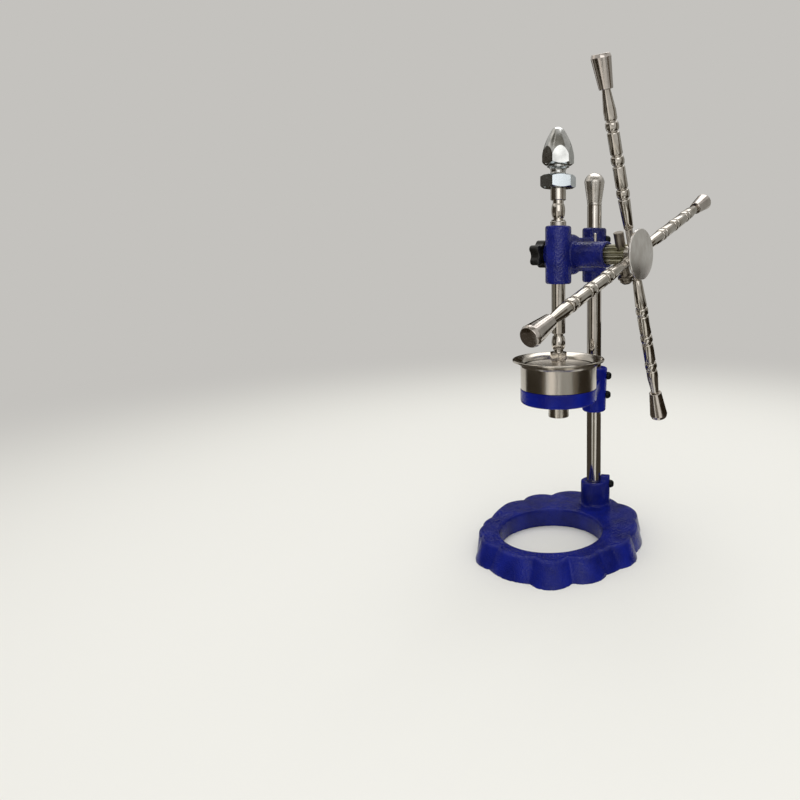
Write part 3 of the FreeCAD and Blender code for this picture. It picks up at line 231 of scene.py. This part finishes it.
DISC_FACE = brushed_sheet("brushed_disc_face", ("E2DDD8", "FFFDFA"), 0.27, 0.34, 16, (1, 2, 1))


def dress_cad_nodes():
    """Gives every CAD node that stays its finish."""
    special = {
        "cup": CUP_SHEET, "spout": CUP_SHEET, "hub_disc": DISC_FACE, "column": DRAWN_BAR,
        "column_cap": SATIN_CAP, "hub_body": SATIN_CAP, "finial": DULL_ZINC,
        "pinion_cross_bar": SHADED_CROSS_BAR,
    }
    for name, node in nodes.items():
        node.data.materials.clear()
        node.data.materials.append(special.get(name, FINISHES[slot_of[name]]))


# Pieces made anew

CREASE_ANGLE = 38        # edges bent further than this many degrees stay sharp


def finish_piece(name, cells, like, *replaced, finish=None):
    """Makes cells a finished piece that rides, and unless a finish is given looks, as a CAD node does."""
    bmesh.ops.remove_doubles(cells, verts=cells.verts, dist=0.001 * MM)
    bmesh.ops.recalc_face_normals(cells, faces=cells.faces)
    mesh = bpy.data.meshes.new(name)
    cells.to_mesh(mesh)
    cells.free()
    mesh.shade_smooth()
    mesh.set_sharp_from_angle(angle=math.radians(CREASE_ANGLE))
    mesh.materials.append(finish or FINISHES[slot_of[like]])
    piece = bpy.data.objects.new(name, mesh)
    bpy.context.scene.collection.objects.link(piece)
    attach(piece, body_of[like])
    if replaced:
        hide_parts(*replaced)
    return piece


def spun(cells, outline, steps, place):
    """Spins an outline of (radius, height) points in millimetres round the upright axis and places it."""
    before = set(cells.verts)
    corners = [cells.verts.new((radius * MM, 0, height * MM)) for radius, height in outline]
    edges = [cells.edges.new(pair) for pair in zip(corners, corners[1:])]
    bmesh.ops.spin(cells, geom=corners + edges, cent=(0, 0, 0), axis=(0, 0, 1), angle=2 * math.pi,
                   steps=steps, use_merge=True, use_duplicate=False)
    made = [vert for vert in cells.verts if vert not in before]
    bmesh.ops.transform(cells, matrix=place, verts=made)
    return made


# From this place along the pinion, towards the hand wheel, the head's skin is kept off the teeth
GEAR_BORE_START = -8.5 * MM
GEAR_CLEARANCE = 0.12 * MM


def soft_casting(node, grain, runs, finish=None, bore=0):
    """A copy of a casting with an even skin, on which edges and inside corners have run soft.

    Where a bore is given, the skin is kept that far from the pinion's axis, so its teeth turn freely.
    """
    cells = bmesh.new()
    cells.from_mesh(nodes[node].data)
    bmesh.ops.remove_doubles(cells, verts=cells.verts, dist=0.002 * MM)
    mesh = bpy.data.meshes.new(node + "_core")
    cells.to_mesh(mesh)
    cells.free()
    core = bpy.data.objects.new(node + "_core", mesh)
    bpy.context.scene.collection.objects.link(core)
    skin = core.modifiers.new("skin", "REMESH")
    skin.mode = "VOXEL"
    skin.voxel_size = grain * MM
    even = bpy.data.meshes.new_from_object(core.evaluated_get(bpy.context.evaluated_depsgraph_get()))
    bpy.data.objects.remove(core)
    cells = bmesh.new()
    cells.from_mesh(even)
    for _ in range(runs):
        bmesh.ops.smooth_vert(cells, verts=cells.verts, factor=0.5, use_axis_x=True, use_axis_y=True,
                              use_axis_z=True)
    for vert in cells.verts:
        across = Vector((0, vert.co.y - wheel_axis.y, vert.co.z - wheel_axis.z))
        if vert.co.x > GEAR_BORE_START and across.length < bore:
            vert.co += across.normalized() * (bore - across.length)
    return finish_piece(node + "_skin", cells, node, node, finish=finish)


SCREW_TURN = 24          # the clamp screws point this many degrees round from the hand wheel's side
SCREW_HEAD_HEIGHT = 5.6
SOCKET_WIDTH = 4.0       # across the flats of the screws' hexagon sockets
SOCKET_ROUND = 2.2       # the ring that becomes the hexagon


def make_clamp_screw(node):
    """A round-headed screw with a hexagon socket, on the spot of the CAD screw."""
    turn = Matrix.Rotation(math.radians(SCREW_TURN), 4, "Z")
    outwards = (turn @ Vector((1, 0, 0))).normalized()
    reach = [vert.co.dot(outwards) / MM for vert in nodes[node].data.vertices]
    tip, end = min(reach), max(reach)
    head = end - SCREW_HEAD_HEIGHT
    low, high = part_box(node)
    place = Matrix.Translation((0, 0, (low.z + high.z) / 2)) @ turn @ Matrix.Rotation(math.pi / 2, 4, "Y")
    cells = bmesh.new()
    made = spun(cells, [
        (0, tip), (2.9, tip), (2.9, head), (4.8, head), (5.0, head + 0.3), (5.0, head + 0.9),
        (4.75, head + 2.3), (4.2, head + 3.6), (3.4, head + 4.7), (2.5, head + 5.3), (2.3, head + 5.2),
        (SOCKET_ROUND, head + 4.9), (SOCKET_ROUND, head + 2.4), (0, head + 2.1),
    ], 24, Matrix())
    for vert in made:
        across = Vector((vert.co.x, vert.co.y, 0)) / MM
        if abs(across.length - SOCKET_ROUND) < 0.02:
            corner = math.atan2(across.y, across.x) % (math.pi / 3) - math.pi / 6
            flat = SOCKET_WIDTH / 2 / math.cos(corner)
            vert.co.x *= flat / SOCKET_ROUND
            vert.co.y *= flat / SOCKET_ROUND
    bmesh.ops.transform(cells, matrix=place, verts=cells.verts)
    finish_piece(node + "_socket_head", cells, node, node)


WHEEL_TURN = 20          # the first spoke leans this many degrees from upright


def spoke_place(number):
    """Where a spoke's own axis starts, on the pinion's axis, and the way it points."""
    low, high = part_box(f"spoke_{number + 1}")
    hub = Matrix.Translation(((low.x + high.x) / 2, wheel_axis.y, wheel_axis.z))
    return hub @ Matrix.Rotation(math.radians(WHEEL_TURN + 90 * number), 4, "X")


# Threads at the roots of the spokes, in millimetres
THREAD_PITCH = 1.25
THREAD_START = 9.5
THREAD_STEPS = 32        # two to a turn: one crest and one root
THREAD_CREST, THREAD_ROOT = 4.3, 3.8


def make_spoke_threads():
    """The cut threads that show between the hub and the roots of the four spokes."""
    cells = bmesh.new()
    flanks = [(THREAD_CREST if step % 2 else THREAD_ROOT, THREAD_START + step * THREAD_PITCH / 2)
              for step in range(THREAD_STEPS)]
    outline = [(0, THREAD_START), *flanks, (0, THREAD_START + (THREAD_STEPS - 1) * THREAD_PITCH / 2)]
    for number in range(4):
        spun(cells, outline, 28, spoke_place(number))
    finish_piece("spoke_threads", cells, "spoke_1")


# Turned spokes: radii from the axis of each spoke, in millimetres
STUD, NECK = 4.0, 4.4
BAR, GROOVE, SHOULDER, BARREL = 6.65, 5.2, 5.9, 7.2
# and places along it, from the axis of the pinion
STUD_START, SPOKE_START, TAPER_END = 5.1, 29.6, 61.4
BEAD_PLACES = (68.1, 103.2, 138.3)
BEAD_HALF = 4.4
SPOKE_SHOULDER, NECK_END = 153.8, 177.0
GRIP_START, GRIP_END = 174.5, 208.1


def bead_outline(middle):
    """The outline across one barrel-shaped bead between two fine grooves, and the bar's rounded ends."""
    barrel = []
    for step in range(-5, 6):
        share = math.sin(math.radians(step * 16))
        swell = (BARREL - SHOULDER) * math.sqrt(1 - share ** 2)
        barrel.append((SHOULDER + swell, middle + BEAD_HALF * share))
    end = [(BAR, 7.5), (BAR - 0.1, 7.0), (BAR - 0.35, 6.4), (BAR - 0.8, 5.9), (GROOVE, 5.6), (GROOVE, 4.6)]
    return [*[(radius, middle - reach) for radius, reach in end], *barrel,
            *[(radius, middle + reach) for radius, reach in reversed(end)]]


def make_spoke(number):
    """One turned spoke with its three beads, and the flared grip with a wide chamfer on its end."""
    node, grip = f"spoke_{number + 1}", f"spoke_grip_{number + 1}"
    place = spoke_place(number)
    cells = bmesh.new()
    outline = [(0, STUD_START), (STUD, STUD_START), (STUD, SPOKE_START), (4.9, SPOKE_START),
               (5.2, 30.0), (BAR, TAPER_END)]
    for middle in BEAD_PLACES:
        outline += bead_outline(middle)
    outline += [(BAR, SPOKE_SHOULDER), (NECK, 174.4), (NECK, NECK_END), (0, NECK_END)]
    spun(cells, outline, 48, place)
    finish_piece(node + "_turned", cells, node, node)
    cells = bmesh.new()
    spun(cells, [
        (0, 176.0), (5.2, 176.0), (5.2, 175.1), (5.8, GRIP_START), (6.75, GRIP_START), (7.35, 175.1),
        (10.25, 203.4), (10.45, 204.0), (10.5, 204.4), (10.4, 204.8), (9.4, 207.7), (9.2, 208.0),
        (8.9, GRIP_END), (0, GRIP_END),
    ], 56, place)
    finish_piece(grip + "_turned", cells, grip, grip, finish=SATIN_GRIP)


dress_cad_nodes()
soft_casting("base_casting", 1.1, 2, BASE_ENAMEL)
tooth_tips = max(math.hypot(vert.co.y - wheel_axis.y, vert.co.z - wheel_axis.z)
                 for vert in nodes["pinion"].data.vertices)
soft_casting("head_casting", 0.7, 6, bore=tooth_tips + GEAR_CLEARANCE)
soft_casting("cup_holder_casting", 0.8, 4)
soft_casting("star_knob", 0.45, 5)
for screw in ("base_clamp_screw", "head_clamp_screw", "cup_holder_screw_lower", "cup_holder_screw_upper"):
    make_clamp_screw(screw)
make_spoke_threads()
for spoke in range(4):
    make_spoke(spoke)


# Camera, as fitted to the photograph
CAMERA_PLACE = Vector((0.4200, -0.6952, 0.3401))
CAMERA_TURN = 33.04
CAMERA_DROP = 4.75
FOCAL_LENGTH = 29.03
SENSOR_WIDTH = 36
FRAME_SHIFT = (-0.216, -0.1125)


def place_camera():
    """The camera at the photograph's angle and framing."""
    camera = bpy.data.objects.new("camera", bpy.data.cameras.new("camera"))
    camera.data.lens = FOCAL_LENGTH
    camera.data.sensor_width = SENSOR_WIDTH
    camera.data.shift_x = FRAME_SHIFT[0]
    camera.data.shift_y = FRAME_SHIFT[1]
    camera.data.clip_start = 0.01
    camera.location = CAMERA_PLACE
    camera.rotation_euler = (math.radians(90 - CAMERA_DROP), 0, math.radians(CAMERA_TURN))
    bpy.context.scene.collection.objects.link(camera)
    bpy.context.scene.camera = camera


WALL_COLOUR = "C4C2BE"
FLOOR_COLOUR = "EDEDE9"
FADE_START, FADE_END = 0.45, 1.6
PRESS_MIDDLE_Y = -0.05


def around(azimuth, distance, height):
    """A point round the press: 0 is towards the user, 90 towards the hand wheel."""
    turn = math.radians(azimuth)
    return Vector((distance * math.sin(turn), PRESS_MIDDLE_Y - distance * math.cos(turn), height))


def make_room():
    """The wall all round and the pale floor, which fades into it with distance."""
    world = bpy.data.worlds.new("room")
    world.use_nodes = True
    world.node_tree.nodes["Background"].inputs["Color"].default_value = linear(WALL_COLOUR)
    bpy.context.scene.world = world

    cells = bmesh.new()
    bmesh.ops.create_circle(cells, cap_ends=True, radius=8.0, segments=96)
    mesh = bpy.data.meshes.new("floor")
    cells.to_mesh(mesh)
    cells.free()
    floor = bpy.data.objects.new("floor", mesh)
    bpy.context.scene.collection.objects.link(floor)
    material, shader = new_finish("floor", Base_Color=linear(FLOOR_COLOUR), Roughness=0.8,
                                  Specular_IOR_Level=0.0)
    where = add_node(material, "TexCoord", {}).outputs["Object"]
    distance = add_node(material, "VectorMath", {0: where}, operation="LENGTH").outputs["Value"]
    fade = add_node(material, "MapRange",
                    {"Value": distance, "From Min": FADE_START, "From Max": FADE_END},
                    interpolation_type="SMOOTHERSTEP").outputs["Result"]
    wall = add_node(material, "Emission", {"Color": linear(WALL_COLOUR)})
    blend = add_node(material, "MixShader",
                     {0: fade, 1: shader.outputs["BSDF"], 2: wall.outputs["Emission"]})
    output = material.node_tree.nodes["Material Output"]
    material.node_tree.links.new(blend.outputs["Shader"], output.inputs["Surface"])
    mesh.materials.append(material)


def softbox(name, place, width, height, power, mirrored=True):
    """A soft lamp that looks at the middle of the press; a fill lamp isn't mirrored in the metal."""
    lamp = bpy.data.lights.new(name, "AREA")
    lamp.shape = "RECTANGLE"
    lamp.size = width
    lamp.size_y = height
    lamp.energy = power
    holder = bpy.data.objects.new(name, lamp)
    holder.visible_glossy = mirrored
    holder.location = place
    holder.rotation_euler = (Vector((0, PRESS_MIDDLE_Y, 0.25)) - place).to_track_quat("-Z", "Y").to_euler()
    bpy.context.scene.collection.objects.link(holder)


CARD_DISTANCE = 0.62


def painted_reflection_card(name, start, end, tone, low, high, near=None):
    """A curved card beside the press, or lying in front of it, that glows and that only bright surfaces
    see.

    Its glow is a painted reflection, which draws dark and bright lines on polished metal and gloss.
    """
    cells = bmesh.new()
    steps = max(2, round(abs(end - start) / 5))
    foot = [cells.verts.new(around(start + (end - start) * step / steps, CARD_DISTANCE, low))
            for step in range(steps + 1)]
    edges = [cells.edges.new(pair) for pair in zip(foot, foot[1:])]
    raised = bmesh.ops.extrude_edge_only(cells, edges=edges)["geom"]
    far = [part for part in raised if isinstance(part, bmesh.types.BMVert)]
    if near:
        share = near / CARD_DISTANCE
        middle = Matrix.Translation(-around(0, 0, low))
        bmesh.ops.scale(cells, verts=far, vec=(share, share, 1), space=middle)
    else:
        bmesh.ops.translate(cells, verts=far, vec=(0, 0, high - low))
    mesh = bpy.data.meshes.new(name)
    cells.to_mesh(mesh)
    cells.free()
    card = bpy.data.objects.new(name, mesh)
    card.visible_camera = False
    card.visible_diffuse = False
    card.visible_shadow = False
    bpy.context.scene.collection.objects.link(card)
    # The flat glow is the painted reflection; the card is no lamp
    material, shader = new_finish(name, Base_Color=(0, 0, 0, 1), Specular_IOR_Level=0.0,
                                  Emission_Color=linear(tone), Emission_Strength=1.0)
    mesh.materials.append(material)


# Tones of the glowing cards: painted reflections, dark and bright, that stand in for the room round the
# press
DARK_REFLECTION = "2A2319"
DIM_REFLECTION = "48423A"
BROWN_REFLECTION = "5E564B"
MIDDLE_REFLECTION = "7C786F"
GREY_REFLECTION = "9A9994"
WHITE_REFLECTION = "F6F0E8"


def light_the_press():
    """Plain soft light from the front and above, and glowing cards that paint reflected dark and bright
    lines on the metal.
    """
    softbox("front_softbox", around(40, 1.8, 0.85), 1.3, 1.1, 5.2)
    softbox("top_softbox", around(200, 0.5, 1.9), 1.6, 1.6, 13)
    softbox("fill_softbox", around(30, 0.6, 2.0), 1.8, 1.8, 10.4, mirrored=False)
    # On the left
    painted_reflection_card("left_card", -75, -14, DARK_REFLECTION, 0.0, 0.15)
    painted_reflection_card("left_middle_card", -66, -20, MIDDLE_REFLECTION, 0.15, 0.33)
    painted_reflection_card("left_edge_card", -20, -2, DARK_REFLECTION, 0.15, 0.33)
    painted_reflection_card("low_left_edge_card", -14, -2, BROWN_REFLECTION, 0.0, 0.15)
    painted_reflection_card("left_far_card", -85, -66, DARK_REFLECTION, 0.15, 0.33)
    painted_reflection_card("high_left_card", -85, -2, DIM_REFLECTION, 0.33, 0.6)
    painted_reflection_card("left_strip", -62, -34, WHITE_REFLECTION, 0.64, 0.92)
    painted_reflection_card("raised_side_strip", -100, -50, WHITE_REFLECTION, 1.0, 1.6)
    painted_reflection_card("raised_left_card", -46, -12, MIDDLE_REFLECTION, 0.95, 1.7)
    # In front
    painted_reflection_card("bright_card", 6, 22, WHITE_REFLECTION, 0.0, 0.36)
    painted_reflection_card("thin_card", 26, 29.5, BROWN_REFLECTION, 0.0, 0.15)
    painted_reflection_card("grey_card", 37, 71, GREY_REFLECTION, 0.0, 0.15)
    painted_reflection_card("raised_strip", -10, -4, WHITE_REFLECTION, 0.95, 1.7)
    painted_reflection_card("raised_front_card", -3, 100, MIDDLE_REFLECTION, 0.95, 1.7)
    # On the right
    painted_reflection_card("low_right_edge_card", 71, 90, BROWN_REFLECTION, 0.0, 0.15)
    painted_reflection_card("right_edge_card", 76, 92, GREY_REFLECTION, 0.15, 0.36)
    painted_reflection_card("low_right_card", 90, 153, DARK_REFLECTION, 0.0, 0.27)
    painted_reflection_card("high_right_card", 92, 113, BROWN_REFLECTION, 0.27, 0.75)
    painted_reflection_card("side_card", 113, 178, GREY_REFLECTION, 0.27, 0.75)
    painted_reflection_card("far_right_card", 153, 180, DARK_REFLECTION, 0.1, 0.2)
    # Behind, and lying on the table, where they paint a darker reflection of the floor
    painted_reflection_card("back_card", 185, 250, DARK_REFLECTION, 0.12, 0.7)
    painted_reflection_card("front_table_card", 14, 50, MIDDLE_REFLECTION, 0.0015, 0, near=0.14)
    painted_reflection_card("table_card", 80, 357, DIM_REFLECTION, 0.0015, 0, near=0.14)


place_camera()
make_room()
light_the_press()
bpy.context.scene.view_settings.view_transform = "Standard"
